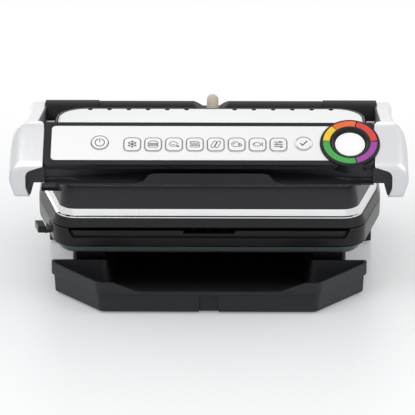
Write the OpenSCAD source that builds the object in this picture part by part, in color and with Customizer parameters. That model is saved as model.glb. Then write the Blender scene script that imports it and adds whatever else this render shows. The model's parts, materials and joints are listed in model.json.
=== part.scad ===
// Electric contact grill with a hinged lid, a floating upper plate and a drip tray.
// Millimetres. +Z is up, the front faces -Y, and the origin is on the worktop under the middle.

/* [Body outline] */
// Half width of the base and the lid
body_half = 163; // [158:1:166]
// Half width of the front edge, before its corners are rounded
front_half = 142; // [132:1:144]
// Distance from the middle to the front edge
body_front = 123; // [118:1:125]
// Distance from the middle to the rear edge
body_rear = 118; // [112:1:118.5]
// Distance in front of the middle at which the sides reach their full width
shoulder = 38; // [30:1:50]
// Radius of the front corners
front_r = 24; // [14:1:28]
// Radius of the rear corners
rear_r = 40; // [30:1:44]
// Slope of the plates, which drains fat to the front
plate_tilt = 5; // [4:0.5:5.5]
// Height of the parting line between base and lid, at the middle
parting_z = 77.5; // [76:0.5:80]
// Gap at the parting line
parting_gap = 0.8; // [0.7:0.1:1.2]

/* [Base] */
// Height of the outer wall of the base
wall_h = 18; // [16:0.5:20]
// Thickness of the outer wall of the base
base_wall = 3.6; // [3:0.2:4]
// Height of the belly pan below the wall
pan_h = 8.8; // [8:0.2:10]
// Half width of the drain recess in the front wall
recess_half = 129; // [100:1:130]
// Depth of the drain recess
recess_h = 9; // [8.2:0.2:10]
// Half width of the front legs, outside
leg_half = 129; // [122:1:134]
// Front end of the legs
leg_front = 85; // [75:1:90]
// Distance of the rear block's sides inside the widest part of the body
block_inset = 4; // [2:1:13]
// Front end of the rear block
block_front = 45; // [42:1:60]
// Rear end of the base
base_rear = 172.5; // [170:0.5:176]
// Half width of the tray tunnel
tunnel_half = 98; // [94:1:102]
// Height of the tray tunnel
tunnel_h = 33; // [32:0.5:36]
// Height of the rubber feet
foot_h = 3; // [2.5:0.5:4]
// Radius of the rubber feet
foot_r = 9; // [7:0.5:10]
// Radius of the bore for the mains cord
cord_r = 3.6; // [3:0.1:4.2]
// Height of the cord entry
cord_z = 24; // [20:1:30]
// Distance of the cord entry to the right of the middle
cord_x = 60; // [30:5:100]

/* [Plates] */
// Pitch of the grill ridges
ridge_pitch = 14; // [12:0.5:18]
// Width of a ridge
ridge_w = 5; // [3:0.5:6]
// Height of a ridge
ridge_h = 3; // [2:0.2:3.4]
// Gap between the ridges of the two plates when the lid is shut
food_gap = 6; // [5.6:0.2:7]
// Thickness of each plate under its ridges
plate_t = 3; // [2:0.25:3.25]
// Radius of the heating elements
heater_r = 3.2; // [2.6:0.1:3.6]

/* [Lid] */
// Height of the black frame round the upper plate
rim_h = 9.5; // [8.5:0.5:10.5]
// Height of the polished skirt
skirt_h = 8.3; // [7:0.1:9]
// Height of the shell above the skirt, at the front
shell_h = 19; // [15:0.5:19]
// Extra height of the lid at its rear
lid_rise = 1; // [0.5:0.1:1.5]
// Thickness of the steel cover
cover_t = 1.2; // [0.8:0.1:1.6]
// Number of vent slots on each side of the sleeve
vent_count = 6; // [4:1:6]
// Pitch of the vent slots
vent_pitch = 19.1; // [17:0.5:20]
// Distance of the first vent slot from the middle
vent_start = 23.8; // [22:0.5:27]

/* [Hinge] */
// Distance of the hinge axis behind the middle
hinge_y = 142; // [141:0.5:145]
// Height of the hinge axis
hinge_z = 103.5; // [102:0.5:106]
// Radius of the hinge barrels
barrel_r = 20; // [18:0.5:20.5]
// Half length of the fixed barrel in the middle
barrel_half = 112; // [104:1:116]
// Radius of the hinge pins
pin_r = 4; // [3:0.25:4.5]
// Radius of the pivots that carry the lid on the arms
pivot_r = 3.5; // [3:0.25:4]
// Distance of the lid pivots behind the middle
pivot_y = 100; // [98:0.5:101]
// Height of the lid pivots
pivot_z = 110; // [109:0.5:111]
// Radius of the wiring sleeve
sleeve_r = 6; // [5:0.25:6.5]
// Distance of the wiring sleeve to the right of the middle
sleeve_x = 1.8; // [0:0.1:1.9]

/* [Handle] */
// Width of each arm end
cap_w = 31; // [28:0.5:34]
// Width of each arm at the hinge
arm_w = 14.5; // [13:0.5:16]
// Half width of the console between the arm ends
console_half = 151.6; // [150:0.2:152]
// Slope of the control panel
panel_tilt = 36; // [34:1:38]
// Length of the control panel down its slope
panel_len = 50; // [48:0.5:51]
// Distance of the panel's upper edge in front of the middle
panel_y = 108; // [106:1:110]
// Height of the panel's upper edge
panel_z = 165.6; // [164:0.2:168]
// Thickness of the panel frame
frame_t = 3; // [2.5:0.1:3.5]
// Height of the underside of the console
console_z = 115; // [113.6:0.2:115.4]
// Height of the lowest point of the arm ends
cap_z = 105.5; // [104:0.5:107]
// Depth of the finger pocket under the panel
pocket_d = 14; // [10:0.5:16]
// Height of the raised middle of the lip below the pocket
lip_top = 126; // [122:0.5:128]
// Half length of the finger pocket, which grows shallow towards its ends
pocket_half = 140; // [120:1:146]

/* [Control panel] */
// Half width of the fascia on its left side
fascia_half = 145; // [142:0.5:147]
// Border of the frame above the fascia
fascia_top = 4.4; // [3:0.2:6]
// Border of the frame below the fascia
fascia_low = 5.3; // [4:0.1:7]
// Thickness of the fascia
fascia_t = 1; // [0.8:0.1:1.4]
// Distance of the indicator's centre from the middle
ring_x = 129.7; // [120:0.5:132]
// Outer radius of the indicator
ring_r = 27.3; // [25:0.1:28]
// Outer radius of the coloured windows
window_r = 25; // [22:0.1:25.5]
// Width of the coloured windows
window_w = 6.2; // [5:0.1:8]
// Radius of the white lens
lens_r = 13.8; // [11:0.1:15]
// Height of the indicator above the panel
ring_rise = 2.4; // [1.4:0.1:3]
// Width and height of a programme key
key_w = 16.2; // [14:0.1:17]
// Pitch of the programme keys
key_pitch = 19.2; // [18:0.1:19.6]
// Distance of the first programme key to the left of the middle
key_start = 70.5; // [68:0.5:72]
// Travel of a key
key_travel = 0.6; // [0.3:0.1:0.8]

/* [Drip tray] */
// Distance from the middle to the front of the tray
tray_front = 172.5; // [170:0.5:176]
// Half width of the tray's front
tray_front_half = 101; // [90:1:106]
// Half width across the tray's wings
tray_half = 147.7; // [140:0.5:152]
// Distance in front of the middle at which the wings end
wing_rear = 97.5; // [92:0.5:100]
// Rear end of the tray behind the middle
tray_rear = 32; // [20:1:34]
// Height of the tray's rim
tray_h = 30; // [28.5:0.5:31]
// Height of the rim in the middle of the front
lip_h = 21.5; // [16:0.5:26]
// Half width of the dip in the front rim, at its bottom
dip_half = 65; // [50:1:75]
// Half width of the finger pull in the front
pull_half = 9; // [6:0.5:12]
// Wall of the tray
tray_wall = 2.4; // [1.8:0.1:3]

/* [Hidden] */
$fn = 48;

turn_fit = 0.05;        // radial clearance of a pin that turns in its bore
slide_gap = 0.4;        // clearance between pieces that slide past each other
edge = 1.2;             // small edge rounding of moulded rims
corner_steps = 6;       // straight steps in each rounded corner
big = 400;              // length of a cutting block that reaches past everything
black = [0.13, 0.13, 0.14];
grey = [0.22, 0.22, 0.24];
silver = [0.80, 0.81, 0.82];
steel = [0.86, 0.86, 0.85];
brass = [0.80, 0.65, 0.35];
board_green = [0.10, 0.32, 0.18];

// ---------- helpers ----------

function unit(v) = v / norm(v);
function cross2(a, b) = a[0] * b[1] - a[1] * b[0];

// An arc that rounds the corner p between its neighbours p0 and p1
function corner_arc(p0, p, p1, r, n) =
    let(a = unit(p0 - p), b = unit(p1 - p), half = acos(max(-1, min(1, a * b))) / 2,
        c = p + unit(a + b) * r / sin(half), turn = cross2(p - p0, p1 - p) > 0 ? 1 : -1,
        sweep = turn * (180 - 2 * half), t0 = p + a * r / tan(half) - c, a0 = atan2(t0[1], t0[0]))
    [for (k = [0:n]) c + r * [cos(a0 + sweep * k / n), sin(a0 + sweep * k / n)]];

// A polygon with each corner rounded by its own radius
function rounded(pts, radii, n = corner_steps) = let(m = len(pts))
    [for (i = [0:m - 1]) each corner_arc(pts[(i + m - 1) % m], pts[i], pts[(i + 1) % m], radii[i], n)];

// A counter-clockwise polygon moved inwards by d
function inset(pts, d) = let(m = len(pts)) [for (i = [0:m - 1])
    let(p = pts[i], e0 = unit(p - pts[(i + m - 1) % m]), e1 = unit(pts[(i + 1) % m] - p),
        n0 = [-e0[1], e0[0]], n1 = [-e1[1], e1[0]])
    p + d * (n0 + n1) / (1 + n0 * n1)];

// A skin over rings of points, outside first from the bottom up.
// Open: the first and last ring are capped. Closed: the last ring joins the first.
module skin(rings, closed = false) {
    m = len(rings);
    n = len(rings[0]);
    sides = [for (j = [0:(closed ? m - 1 : m - 2)]) for (i = [0:n - 1])
        let(a = j * n + i, b = j * n + (i + 1) % n,
            c = ((j + 1) % m) * n + (i + 1) % n, d = ((j + 1) % m) * n + i)
        each [[a, d, c], [a, c, b]]];
    caps = closed ? [] : [[for (i = [0:n - 1]) i], [for (i = [n - 1:-1:0]) (m - 1) * n + i]];
    polyhedron([for (r = rings) each r], concat(sides, caps), convexity = 8);
}

// A round bar swept along a path of points
function bar_ring(p, dir, r, n) = let(side = unit(cross(dir, [0.013, 0.021, 1])), up = cross(side, dir))
    [for (k = [0:n - 1]) p + r * (cos(360 * k / n) * side - sin(360 * k / n) * up)];
module bar(path, r, n = 8) {
    m = len(path) - 1;
    skin([for (i = [0:m]) bar_ring(path[i],
        unit(path[min(i + 1, m)] - path[max(i - 1, 0)]), r, n)]);
}

// A box between two corners
module block(lo, hi) translate(lo) cube(hi - lo);

// A cylinder along X between two places
module rod_x(x0, x1, y, z, r) translate([x0, y, z]) rotate([0, 90, 0]) cylinder(h = x1 - x0, r = r);

// A profile of [y, z] points drawn out along X
module prism_x(x0, x1, pts) translate([x0, 0, 0]) rotate([90, 0, 90])
    linear_extrude(x1 - x0) polygon(pts);

// A profile of [x, z] points drawn out along Y
module prism_y(y0, y1, pts) translate([0, y1, 0]) rotate([90, 0, 0])
    linear_extrude(y1 - y0) polygon(pts);

module both_sides() {
    children();
    mirror([1, 0, 0]) children();
}

// ---------- frames of reference ----------

// The plates' frame: its XY plane is the parting plane
module on_slope() translate([0, 0, parting_z]) rotate([plate_tilt, 0, 0]) children();

// The panel's frame: Y runs up its slope and is 0 at the upper edge, Z stands out of it
module on_panel() translate([0, -panel_y, panel_z]) rotate([panel_tilt, 0, 0]) children();
function panel_point(y, z) = [-panel_y + y * cos(panel_tilt) - z * sin(panel_tilt),
    panel_z + y * sin(panel_tilt) + z * cos(panel_tilt)];

// ---------- outline shared by base and lid ----------

body_corners = [[-front_half, -body_front], [front_half, -body_front], [body_half, -shoulder],
    [body_half, body_rear], [-body_half, body_rear], [-body_half, -shoulder]];
body_radii = [front_r, front_r, 70, rear_r, rear_r, 70];
function body_outline(d) = rounded(inset(body_corners, d), [for (r = body_radii) max(r - d, 1)]);
function body_ring(d, w) = [for (p = body_outline(d)) [p[0], p[1], w]];

// Rings of the lid, whose top rises a little towards the rear
function lid_ring(d, w) = [for (p = body_outline(d))
    [p[0], p[1], w + lid_rise * (p[1] + body_front) / (body_front + body_rear)]];

module body_slab(d, w0, w1) translate([0, 0, w0]) linear_extrude(w1 - w0) polygon(body_outline(d));

skirt_top = rim_h + skirt_h;
shell_top = skirt_top + shell_h;
pan_floor = -wall_h - pan_h;
plate_gap = 0.5;                       // clearance round each plate
ledge = 2.6;                           // ledge inside the base wall that the belly pan closes
plate_inset = base_wall + plate_gap;
plate_face = food_gap / 2 + ridge_h;   // distance from the parting plane to each plate's face

// ---------- base ----------

module base_shell() color(black) on_slope() difference() {
    skin([body_ring(edge, -wall_h), body_ring(0.3, -wall_h + edge), body_ring(0, -wall_h / 2),
        body_ring(0, -edge), body_ring(edge / 2, 0), body_ring(base_wall, 0),
        body_ring(base_wall, -wall_h + 3), body_ring(base_wall + ledge, -wall_h + 3),
        body_ring(base_wall + ledge, -wall_h)], closed = true);
    // drain recess with slanting ends
    prism_y(-body_front - 5, -body_front + base_wall + 4, [[-recess_half + 2, -recess_h],
        [recess_half - 2, -recess_h], [recess_half + 1.8, -2], [recess_half + 1.8, 5],
        [-recess_half - 1.8, 5], [-recess_half - 1.8, -2]]);
    lower_release_stem(slide_gap);
}

// The belly pan steps in below the wall
pan_inset = base_wall + 0.6;
module belly_pan() color(grey) on_slope() skin([
    body_ring(pan_inset + 9, pan_floor), body_ring(pan_inset + 5, pan_floor + 0.8),
    body_ring(pan_inset + 2, pan_floor + 3.4), body_ring(pan_inset + 0.4, -wall_h - 1.4),
    body_ring(pan_inset, -wall_h), body_ring(pan_inset + 2.4, -wall_h),
    body_ring(pan_inset + 4.4, pan_floor + 4.4), body_ring(pan_inset + 9, pan_floor + 2.4)]);

// Under the pan stand two front legs and, behind them, a block across the full width
block_half = body_half - block_inset;
block_top = hinge_z - barrel_r - 1.4;
neck_y = body_rear + 3.5;
module housing_plan(d) polygon(rounded(inset([[-leg_half, -leg_front], [leg_half, -leg_front],
    [leg_half, block_front], [block_half, block_front + 12], [block_half, base_rear],
    [-block_half, base_rear], [-block_half, block_front + 12], [-leg_half, block_front]], d),
    [6, 6, 3, 3, 30, 30, 3, 3]));
tunnel_end = tray_rear + 1;
room_wall = 4;
floor_t = 3;            // thickness of the floors and of the walls round the tunnel
rear_drop = 30;         // height over which the rear slopes away
module electronics_room(c, z0, z1) intersection() {
    translate([0, 0, z0]) linear_extrude(z1 - z0) housing_plan(room_wall + c);
    block([-big / 2, block_front + 16 + c, z0], [big / 2, base_rear - 12 - c, z1]);
}
// The legs and the front are a tub under the belly pan, and the rear is hollow up to its roof
module housing_rooms() intersection() {
    translate([0, 0, -1]) linear_extrude(big) housing_plan(room_wall);
    difference() {
        union() {
            block([-big / 2, -big / 2, foot_h + floor_t], [big / 2, block_front + 13, block_top]);
            block([-big / 2, neck_y + room_wall, foot_h + floor_t],
                [big / 2, hinge_y + 12, block_top - room_wall]);
        }
        block([-tunnel_half - floor_t, -big, 0],
            [tunnel_half + floor_t, tunnel_end + floor_t, tunnel_h + floor_t]);
    }
}
module lower_housing() color(black) difference() {
    translate([0, 0, foot_h]) linear_extrude(block_top - foot_h) housing_plan(0);
    on_slope() block([-big / 2, -big / 2, pan_floor], [big / 2, neck_y, big / 2]);
    block([-big / 2, -big / 2, parting_z - 25], [big / 2, neck_y, big / 2]);
    // tunnel that the tray slides into
    block([-tunnel_half, -big / 2, 0], [tunnel_half, tunnel_end, tunnel_h]);
    // the rear slopes away above the cord entry
    prism_x(-big / 2, big / 2, [[base_rear + 1, block_top - rear_drop], [base_rear + 1, block_top + 20],
        [hinge_y + 16, block_top + 20], [hinge_y + 16, block_top]]);
    // room for the electronics, open at the bottom
    electronics_room(0, 0, parting_z - 30);
    housing_rooms();
    // bore for the mains cord
    translate([cord_x, base_rear - 14, cord_z]) rotate([-90, 0, 0]) cylinder(h = 30, r = cord_r + 3);
}

cover_t_low = 2.4;      // thickness of the bottom cover
module bottom_cover() color(black) difference() {
    electronics_room(0.2, foot_h, foot_h + cover_t_low);
    for (x = [-5:5])
        block([x * 16 - 2, block_front + 40, 0], [x * 16 + 2, block_front + 80, 12]);
    for (x = screw_spots)
        translate([x, screw_y, 0]) cylinder(h = 12, r = screw_r + 0.2);
}

feet_x = leg_half - 15.5;
feet_y = [-leg_front + 14, base_rear - 24];
module rubber_feet() color(black) both_sides() for (y = feet_y) translate([feet_x, y, 0])
    cylinder(h = foot_h, r = foot_r);

screw_r = 1.8;
screw_y = block_front + 26;
screw_spots = [for (k = [-3, -1, 1, 3]) k * (block_half - 39) / 3];
module base_screws() color(steel) for (x = screw_spots) translate([x, screw_y, foot_h + 0.4]) {
    cylinder(h = 2, r = screw_r);
    cylinder(h = parting_z - 30 - foot_h - 0.4, r = screw_r - 0.4);
}

board_z = 12;
board_half = block_half - 29;
board_depth_y = 50;     // size of the power board from front to rear
module power_board() color(board_green) difference() {
    union() {
        block([-board_half, screw_y - 6, board_z], [board_half, screw_y + board_depth_y, board_z + 1.6]);
        block([-board_half + 30, screw_y + 12, board_z + 1.6],
            [-board_half + 60, screw_y + 36, board_z + 18]);
        block([-30, screw_y + 12, board_z + 1.6], [0, screw_y + 30, board_z + 14]);
        // posts that carry the board on the cover
        for (x = [-board_half + 5, board_half - 5]) for (y = [0, board_depth_y - 6])
            block([x - 3, screw_y + y - 3, foot_h + cover_t_low], [x + 3, screw_y + y + 3, board_z]);
    }
    for (x = screw_spots)
        translate([x, screw_y, 0]) cylinder(h = 60, r = screw_r + 1);
}

module cord_grommet() color(black) translate([cord_x, base_rear - 12, cord_z]) rotate([-90, 0, 0])
    difference() {
        cylinder(h = 12, r = cord_r + 3);
        translate([0, 0, -1]) cylinder(h = 20, r = cord_r);
    }

// ---------- hinge ----------

notch_half = 8.3;       // half width of the notch that the wiring sleeve leaves through
notch_r = barrel_r - 8.5;
housing_r = barrel_r - 0.4;
pin_in = barrel_half - 18;
arm_in = body_half + 3;  // inner face of the arms at the hinge
pin_out = arm_in - 6;
knuckle_in = barrel_half + 0.5;

module rear_housing() color(black) difference() {
    union() {
        rod_x(-barrel_half, barrel_half, hinge_y, hinge_z, housing_r);
        block([-barrel_half, hinge_y - 14, block_top], [barrel_half, hinge_y + 12, hinge_z]);
    }
    // notch for the sleeve, with sloping ends
    prism_y(hinge_y - 30, hinge_y + 30, [[-notch_half, hinge_z + notch_r], [notch_half, hinge_z + notch_r],
        [notch_half + 10, hinge_z + housing_r], [notch_half + 10, hinge_z + 30],
        [-notch_half - 10, hinge_z + 30], [-notch_half - 10, hinge_z + housing_r]]);
    translate([sleeve_x, sleeve_rise, sleeve_foot]) cylinder(h = 40, r = gland_r);
    both_sides() rod_x(pin_in, barrel_half + 5, hinge_y, hinge_z, pin_r);
}

module hinge_pins() color(steel) both_sides() rod_x(pin_in, pin_out, hinge_y, hinge_z, pin_r);

bush_r = pin_r + 2;
module hinge_bushes() color(brass) both_sides() difference() {
    rod_x(knuckle_in, pin_out, hinge_y, hinge_z, bush_r);
    rod_x(knuckle_in - 1, pin_out + 1, hinge_y, hinge_z, pin_r + turn_fit);
}

spigot_r = 9;
spigot_l = 7;
// A knuckle with a cheek that lines the inner side of its arm
module knuckle() difference() {
    union() {
        rod_x(knuckle_in, arm_in, hinge_y, hinge_z, barrel_r + 0.4);
        rod_x(arm_in - 1, arm_in + spigot_l, hinge_y, hinge_z, spigot_r);
        skin([for (i = [len(cheek) - 1:-1:0]) cheek_section(cheek[i])]);
    }
    rod_x(0, arm_in + 1, pivot_y, pivot_z, pivot_r + turn_fit);
    rod_x(knuckle_in - 1, pin_out, hinge_y, hinge_z, bush_r);
    rod_x(pin_out - 1, pin_out + 1, hinge_y, hinge_z, pin_r + turn_fit);
}
module knuckle_right() color(black) knuckle();
module knuckle_left() color(black) mirror([1, 0, 0]) knuckle();

// ---------- plates and heating ----------

ridge_front = body_front - 17;
ridge_rear = body_rear - 14;
ridge_count = floor((body_half - 16) / ridge_pitch);
// A plate with its face at w = 0 and its ridges standing up
module plate(d) {
    body_slab(d, -plate_t, 0);
    difference() {
        body_slab(d, -0.5, ridge_h);
        body_slab(d + 4, -1, ridge_h + 1);
    }
    intersection() {
        body_slab(d + 6, -1, ridge_h + 1);
        for (k = [-ridge_count:ridge_count])
            block([k * ridge_pitch - ridge_w / 2, -ridge_front, -0.5],
                [k * ridge_pitch + ridge_w / 2, ridge_rear, ridge_h]);
    }
}
module lower_plate() color(black) on_slope() translate([0, 0, -plate_face]) difference() {
    plate(plate_inset);
    // drain slot in the front rim
    block([-24, -big, 0], [24, -body_front + plate_inset + 5, ridge_h + 1]);
}
module upper_plate() color(black) on_slope() translate([0, 0, plate_face]) mirror([0, 0, 1])
    plate(rim_wall + plate_gap);

heat_half = body_half - 40;
heat_y = [-80, -48, -16, 16, 48, 80];
heat_turn = 16;
// A bar in a zigzag, with half-round turns
heater_path = [for (i = [0:len(heat_y) - 1]) let(s = i % 2 == 0 ? 1 : -1)
    each concat([[-s * heat_half, heat_y[i], 0]],
        i < len(heat_y) - 1
            ? [for (k = [0:6]) [s * (heat_half + heat_turn * sin(k * 30)),
                heat_y[i] + heat_turn * (1 - cos(k * 30)), 0]]
            : [[s * heat_half, heat_y[i], 0]])];
heater_points = [for (i = [0:len(heater_path) - 1])
    if (i == 0 || norm(heater_path[i] - heater_path[i - 1]) > 1) heater_path[i]];
reflector_inset = 24;
module reflector() difference() {
    body_slab(reflector_inset, -1, 0);
    cylinder(h = 9, r = 6, center = true);
}
module sensor(l) {
    cylinder(h = l, r = 4);
    cylinder(h = l - 2, r = 5.6);
}

heater_w = plate_face + plate_t + heater_r + 0.05;
reflector_w = heater_w + heater_r + 0.3;
module lower_heater() color(steel) on_slope() translate([0, 0, -heater_w])
    bar(heater_points, heater_r);
module lower_reflector() color(steel) on_slope() translate([0, 0, -reflector_w]) reflector();
module lower_sensor() color(steel) on_slope()
    translate([0, 0, pan_floor + 2.4]) sensor(-pan_floor - 2.4 - plate_face - plate_t);
module upper_heater() color(steel) on_slope() translate([0, 0, heater_w])
    bar(heater_points, heater_r);
module upper_reflector() color(steel) on_slope() translate([0, 0, reflector_w + 1]) reflector();
module upper_sensor() color(steel) on_slope()
    translate([0, 0, shell_top + 0.4]) mirror([0, 0, 1]) sensor(shell_top + 0.4 - plate_face - plate_t);

// ---------- lid ----------

rim_wall = 4.2;
rim_lean = 2.2;         // how far the frame's outer face leans in at its top
skirt_inset = 5.4;
shell_inset = 7.2;
shell_wall = 2.6;
vent_r = 2.1;
shell_rim = 1.8;        // rim of the shell that stands round the cover
cover_inset = 13;
module lid_frame() color(black) on_slope() skin([
    body_ring(edge / 2, parting_gap), body_ring(0, parting_gap + edge), body_ring(rim_lean, rim_h - 1.6),
    body_ring(rim_lean + 0.5, rim_h - 0.5), body_ring(rim_lean + 1.2, rim_h), body_ring(rim_wall, rim_h),
    body_ring(rim_wall, parting_gap)], closed = true);

module lid_skirt() color(steel) on_slope() skin([
    body_ring(skirt_inset - 1.8, rim_h), body_ring(skirt_inset - 1.8, rim_h + 1.2),
    body_ring(skirt_inset, rim_h + 2), body_ring(shell_inset - 0.6, skirt_top),
    body_ring(shell_inset + 1, skirt_top), body_ring(shell_inset - 0.4, rim_h + 1.6),
    body_ring(shell_inset - 0.4, rim_h)], closed = true);

module lid_shell() color(grey) difference() {
    on_slope() skin([body_ring(shell_inset, skirt_top), lid_ring(shell_inset + 0.2, skirt_top + 5),
        lid_ring(shell_inset + 1.6, shell_top - 5), lid_ring(shell_inset + 2.9, shell_top - 0.6),
        lid_ring(cover_inset - 1.6, shell_top + shell_rim),
        lid_ring(cover_inset - 0.3, shell_top + shell_rim),
        lid_ring(cover_inset - 0.3, shell_top), lid_ring(cover_inset + 4, shell_top),
        lid_ring(cover_inset + 4, shell_top - 2), lid_ring(shell_inset + 6, shell_top - 3),
        lid_ring(shell_inset + shell_wall, shell_top - 7), body_ring(shell_inset + shell_wall, skirt_top)],
        closed = true);
    on_slope() upper_release_body(slide_gap);
    translate([sleeve_x, body_rear - 28, sleeve_low]) rotate([-90, 0, 0]) cylinder(h = 40, r = gland_r);
    both_sides() rod_x(0, arm_in, pivot_y, pivot_z, pivot_r);
}
pivot_in = body_half - 20;
pivot_out = arm_in + 8;

module lid_cover() color(steel) difference() {
    on_slope() skin([lid_ring(cover_inset + 3, shell_top + 1),
        lid_ring(cover_inset + cover_t, shell_top + 0.6), lid_ring(cover_inset + cover_t, shell_top),
        lid_ring(cover_inset, shell_top), lid_ring(cover_inset, shell_top + 0.7),
        lid_ring(cover_inset + 0.8, shell_top + 1.7),
        lid_ring(cover_inset + 3, shell_top + 1 + cover_t)]);
    // vents that are open at the rear edge
    on_slope() both_sides() for (k = [0:vent_count - 1])
        translate([vent_start + vent_pitch * k, body_rear - cover_inset - 4, shell_top - 2]) {
            cylinder(h = 20, r = vent_r, $fn = 24);
            block([-vent_r, 0, 0], [vent_r, 9, 20]);
        }
}

module lid_pivot_pins() color(steel) both_sides() rod_x(pivot_in, pivot_out, pivot_y, pivot_z, pivot_r);

// ---------- wiring sleeve ----------

// The sleeve rises out of the hinge housing, arches over it and enters the lid from behind
gland_r = sleeve_r + 1.6;
sleeve_rise = hinge_y + 7;
sleeve_foot = hinge_z + 3;
sleeve_low = hinge_z + 9.6;
sleeve_route = [[sleeve_rise, sleeve_foot], [sleeve_rise, hinge_z + 9.5],
    [sleeve_rise - 0.5, hinge_z + 13.5], [sleeve_rise - 3, hinge_z + 18.5],
    [sleeve_rise - 8, hinge_z + 21.6], [sleeve_rise - 15, hinge_z + 22.6],
    [sleeve_rise - 22, hinge_z + 21.6], [sleeve_rise - 27.5, hinge_z + 18.6],
    [sleeve_rise - 31.3, hinge_z + 14.6], [sleeve_rise - 34.6, hinge_z + 11.4],
    [sleeve_rise - 38, sleeve_low + 0.2], [sleeve_rise - 41, sleeve_low], [sleeve_rise - 47, sleeve_low]];
module wiring_sleeve() color([0.78, 0.72, 0.64])
    bar([for (p = sleeve_route) [sleeve_x, p[0], p[1]]], sleeve_r, 12);
module gland(l) difference() {
    cylinder(h = l, r = gland_r);
    translate([0, 0, -1]) cylinder(h = l + 2, r = sleeve_r + 0.4);
}
module sleeve_gland_base() color(black) translate([sleeve_x, sleeve_rise, sleeve_foot]) gland(9);
module sleeve_gland_lid() color(black) translate([sleeve_x, body_rear - 18, sleeve_low])
    rotate([-90, 0, 0]) gland(10);

// ---------- releases for the plates ----------

// The lower lever and the upper button slide inwards, on the left side
function side_x(y) = body_half - (-y - shoulder) * (body_half - front_half) / (body_front - shoulder);
lever_y = [-92, -76];
lever_w = [-16, -9.2];  // lowest and highest part of the lever's head
stem_top = -12.5;
stem_in = body_half - 27;
lever_gap = 3.6;        // distance from the lever's head to the side of the base
lever_out = 11.2;       // distance from the lever's outer face to the side of the base
module lower_release_stem(c) block([-side_x(lever_y[0]) - lever_gap - 1, lever_y[0] - c, lever_w[0] - c],
    [-stem_in, lever_y[1] + c, stem_top + c]);
module lower_release() color(black) on_slope() {
    translate([0, 0, lever_w[0]]) linear_extrude(lever_w[1] - lever_w[0])
        polygon([for (p = [[0, lever_gap], [0, lever_out], [1, lever_out], [1, lever_gap]])
            [-side_x(lever_y[p[0]]) - p[1], lever_y[p[0]]]]);
    lower_release_stem(0);
}
button_y = [-93, -81];
button_w = [shell_top - 10.2, shell_top - 6.6];
button_out = body_half - 6;
module upper_release_body(c) block([-button_out, button_y[0] - c, button_w[0] - c],
    [-button_out + 23, button_y[1] + c, button_w[1] + c]);
module upper_release() color(black) on_slope() difference() {
    upper_release_body(0);
    for (k = [0:3])
        block([-button_out - 1, button_y[0] + 1.2 + 2.8 * k, 0],
            [-button_out + 0.9, button_y[0] + 2.6 + 2.8 * k, 60]);
}

// ---------- arms ----------

cap_in = console_half + 0.4;
arm_outer = cap_in + cap_w;
cap_front = panel_y + 41.4;
function panel_height(y) = panel_z + (y + panel_y) * tan(panel_tilt);
// Stations along an arm: y, inner x, outer x, lowest z, highest z, taper at the foot, radius of the shoulder
nose = [
    [-cap_front, cap_in + 2.2, arm_outer - 2.8, cap_z + 2.6, panel_height(-cap_front) - 4, 4.6, 10],
    [-cap_front + 0.6, cap_in + 0.9, arm_outer - 1, cap_z + 0.9, panel_height(-cap_front) - 1.7, 4.6, 12],
    [-cap_front + 1.8, cap_in, arm_outer, cap_z, panel_height(-cap_front) + 0.4, 4.6, 13]];
cap = [
    [-cap_front + 4.4, cap_in, arm_outer, cap_z, panel_height(-cap_front + 4.4), 4.6, 13],
    [-panel_y - 18, cap_in, arm_outer, cap_z, panel_height(-panel_y - 18), 4.6, 13],
    [-panel_y - 9, cap_in, arm_outer - 0.6, cap_z + 3, panel_height(-panel_y - 9), 4, 13],
    [-panel_y - 3, cap_in + 0.4, arm_outer - 2, cap_z + 12, panel_height(-panel_y - 3) - 0.3, 3, 12],
    [-panel_y + 3, cap_in + 2, arm_outer - 4.6, cap_z + 26, panel_z - 0.3, 2, 10],
    [-panel_y + 12, body_half - 5, body_half + 12, cap_z + 34, panel_z - 1.6, 1, 8]];
shaft = [
    [-80, body_half - 3, body_half + 10.8, 139, 160.4, 0.4, 6],
    [-40, body_half - 2, body_half + 11.6, 131, 152.5, 0.4, 5],
    [10, body_half - 1, body_half + 12.4, 121, 144, 0.4, 5],
    [60, body_half + 0.2, body_half + 13.8, 110, 135.3, 0.4, 4],
    [100, body_half + 1.6, body_half + 15.8, 100, 128.6, 0.4, 4],
    [120, arm_in, arm_in + arm_w, 92, 125, 0.4, 3.5],
    [135, arm_in, arm_in + arm_w, 86, 122.8, 0.4, 3.5],
    [hinge_y + 5, arm_in, arm_in + arm_w, 84.4, 121.5, 0.4, 4],
    [hinge_y + 13, arm_in, arm_in + arm_w, 90, 117, 0.4, 4],
    [hinge_y + 19, arm_in, arm_in + arm_w, 98.5, 108.5, 0.4, 2]];
// A smooth curve through a list of stations, with n steps between two of them
function curve(a, b, c, d, t) = (2 * b + (c - a) * t + (2 * a - 5 * b + 4 * c - d) * t * t
    + (3 * b - a - 3 * c + d) * t * t * t) / 2;
function smooth(list, n) = let(m = len(list) - 1) [for (i = [0:m - 1]) for (k = [0:n - 1])
    curve(list[max(i - 1, 0)], list[i], list[i + 1], list[min(i + 2, m)], k / n)];
stations = concat(nose, smooth(concat(cap, shaft), 2), [shaft[len(shaft) - 1]]);
// Section of an arm at a station, with a large radius at the outer shoulder
function arm_section(s) = let(h = s[4] - s[3], r = min(2, h / 5),
    corners = [[s[1], s[3]], [s[2] - s[5], s[3]], [s[2], s[3] + min(20, h / 2.2)], [s[2], s[4]],
        [s[1], s[4]]],
    radii = [r, min(2.4, h / 5), 12, min(s[6], h / 2.5), min(1, r)])
    [for (p = rounded(corners, radii, 4)) [p[0], s[0], p[1]]];
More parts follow.
